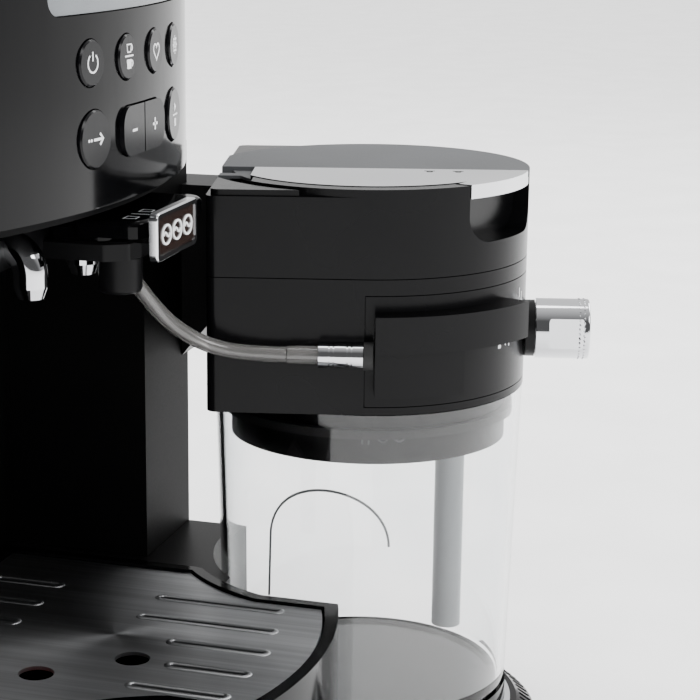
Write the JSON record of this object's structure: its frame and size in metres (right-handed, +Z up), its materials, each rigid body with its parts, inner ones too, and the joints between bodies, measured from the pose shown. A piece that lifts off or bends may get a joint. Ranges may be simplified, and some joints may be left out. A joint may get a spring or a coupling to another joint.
{
  "type": "coffee machine with milk jug",
  "caption": "Automatic coffee machine with a bowed control panel, height-adjustable outlet, drip tray, and a docked milk frother jug joined by a short hose.",
  "frame": {"origin": "on the table, at the middle of the whole machine's footprint", "axes": "+Z up, the control panel faces -Y, +X to the right seen from the front"},
  "size_m": [0.287, 0.4265, 0.365],
  "materials": {
    "black_plastic": "satin moulded",
    "gloss_black": "high gloss",
    "grey_plastic": "fine matt",
    "window_grey": "smooth window",
    "button_black": "satin gloss with printed symbols",
    "display_dark": "flat",
    "board_green": "lacquered board",
    "chrome": "polished",
    "badge_brown": "smooth",
    "hose_clear": "smoked translucent",
    "rubber_black": "matt",
    "steel_brushed": "brushed front to rear",
    "jug_clear": "clear",
    "tank_clear": "smoked clear",
    "tube_grey": "translucent grey",
    "float_red": "smooth",
    "light_ring": "fine matt",
    "inner_grey": "moulded",
    "burr_steel": "ground"
  },
  "bodies": {
    "machine": {"base": "black_plastic", "feet": "rubber_black", "shell": "black_plastic", "front_panel": "gloss_black", "display_window": "window_grey", "display_module": "display_dark", "control_board": "board_green", "recess_liner": "gloss_black", "docking_arm": "black_plastic", "steam_port": "rubber_black", "hose_end": "hose_clear", "hose_connector": "chrome", "brew_frame": "inner_grey", "brew_cylinder": "inner_grey", "grinder_housing": "inner_grey", "pump": "inner_grey", "mains_inlet": "black_plastic", "top_deck": "black_plastic", "cup_rail": "chrome", "bean_hopper": "tank_clear", "tank_cradle": "black_plastic"},
    "spout": {"spout_carriage": "black_plastic", "coffee_nozzles": "chrome", "spout_cover": "gloss_black", "badge_frame": "chrome", "badge_plate": "badge_brown", "milk_outlet": "black_plastic", "milk_hose": "hose_clear"},
    "jug": {"hood": "gloss_black", "lid_pin": "burr_steel", "head_body": "gloss_black", "head_cover": "gloss_black", "connector_seal": "rubber_black", "knob_collar": "black_plastic", "jug_collar": "black_plastic", "jug_seal": "rubber_black", "suction_tube": "tube_grey", "milk_jug": "jug_clear", "jug_base": "black_plastic", "jug_ring": "light_ring"},
    "lid": {"head_lid": "grey_plastic", "lid_trim": "chrome"},
    "knob": {"froth_knob": "chrome"},
    "tray": {"drip_tray": "gloss_black"},
    "grid": {"drip_grid": "steel_brushed"},
    "float": {"level_float": "float_red"},
    "drawer": {"grounds_drawer": "black_plastic"},
    "hopper_cover": {"hopper_lid": "tank_clear"},
    "tank": {"water_tank": "tank_clear"},
    "tank_cover": {"tank_lid": "black_plastic"},
    "burr": {"lower_burr": "burr_steel"},
    "piston": {"brew_piston": "inner_grey"},
    "power": {"power_button": "button_black"},
    "drink": {"drink_button": "button_black"},
    "favourite": {"favourite_button": "button_black"},
    "settings": {"settings_button": "button_black"},
    "program": {"program_button": "button_black"},
    "start": {"start_button": "button_black"},
    "minus": {"minus_button": "button_black"},
    "plus": {"plus_button": "button_black"}
  },
  "joints": [
    {"name": "spout_height", "type": "slide", "parent": "machine", "child": "spout", "axis": [0, 0, -1], "range_m": [0, 0.035], "deforming": ["milk_hose"]},
    {"name": "jug_dock", "type": "slide", "parent": "machine", "child": "jug", "axis": [0.2284, -0.9736, 0], "range_m": [0, 0.1]},
    {"name": "lid_hinge", "type": "hinge", "parent": "jug", "child": "lid", "pos_m": [0.07031, -0.08929, 0.1952], "axis": [-0.9736, -0.2284, 0], "range_deg": [0, 80]},
    {"name": "froth_turn", "type": "hinge", "parent": "jug", "child": "knob", "pos_m": [0.09465, -0.19308, 0.1438], "axis": [0.2284, -0.9736, 0], "range_deg": [-60, 60]},
    {"name": "tray_lift", "type": "slide", "parent": "machine", "child": "tray", "axis": [0, 0, 1], "range_m": [0, 0.04]},
    {"name": "grid_lift", "type": "slide", "parent": "tray", "child": "grid", "axis": [0, 0, 1], "range_m": [0, 0.02]},
    {"name": "float_rise", "type": "slide", "parent": "tray", "child": "float", "axis": [0, 0, 1], "range_m": [0, 0.012]},
    {"name": "drawer_slide", "type": "slide", "parent": "machine", "child": "drawer", "axis": [-1, 0, 0], "range_m": [0, 0.1]},
    {"name": "hopper_lid_hinge", "type": "hinge", "parent": "machine", "child": "hopper_cover", "pos_m": [-0.058, 0.131, 0.3553], "axis": [-1, 0, 0], "range_deg": [0, 85]},
    {"name": "tank_lift", "type": "slide", "parent": "machine", "child": "tank", "axis": [0, 0, 1], "range_m": [0, 0.06]},
    {"name": "tank_lid_hinge", "type": "hinge", "parent": "tank", "child": "tank_cover", "pos_m": [0.055, 0.203, 0.3553], "axis": [-1, 0, 0], "range_deg": [0, 85]},
    {"name": "burr_spin", "type": "hinge", "parent": "machine", "child": "burr", "pos_m": [-0.055, 0.084, 0.25], "axis": [0, 0, 1], "continuous": true},
    {"name": "piston_slide", "type": "slide", "parent": "machine", "child": "piston", "axis": [0, 0, -1], "range_m": [0, 0.045]},
    {"name": "power_press", "type": "slide", "parent": "machine", "child": "power", "axis": [0.1535, 0.9882, 0], "range_m": [0, 0.001], "stiffness_N_per_m": 400},
    {"name": "drink_press", "type": "slide", "parent": "machine", "child": "drink", "axis": [0.0526, 0.9986, 0], "range_m": [0, 0.001], "stiffness_N_per_m": 400},
    {"name": "favourite_press", "type": "slide", "parent": "machine", "child": "favourite", "axis": [-0.0493, 0.9988, 0], "range_m": [0, 0.001], "stiffness_N_per_m": 400},
    {"name": "settings_press", "type": "slide", "parent": "machine", "child": "settings", "axis": [-0.1498, 0.9887, 0], "range_m": [0, 0.001], "stiffness_N_per_m": 400},
    {"name": "program_press", "type": "slide", "parent": "machine", "child": "program", "axis": [0.147, 0.9891, 0], "range_m": [0, 0.001], "stiffness_N_per_m": 400},
    {"name": "start_press", "type": "slide", "parent": "machine", "child": "start", "axis": [-0.147, 0.9891, 0], "range_m": [0, 0.001], "stiffness_N_per_m": 400},
    {"name": "minus_press", "type": "slide", "parent": "machine", "child": "minus", "axis": [0, 1, 0], "range_m": [0, 0.001], "stiffness_N_per_m": 400},
    {"name": "plus_press", "type": "slide", "parent": "machine", "child": "plus", "axis": [0, 1, 0], "range_m": [0, 0.001], "stiffness_N_per_m": 400}
  ]
}
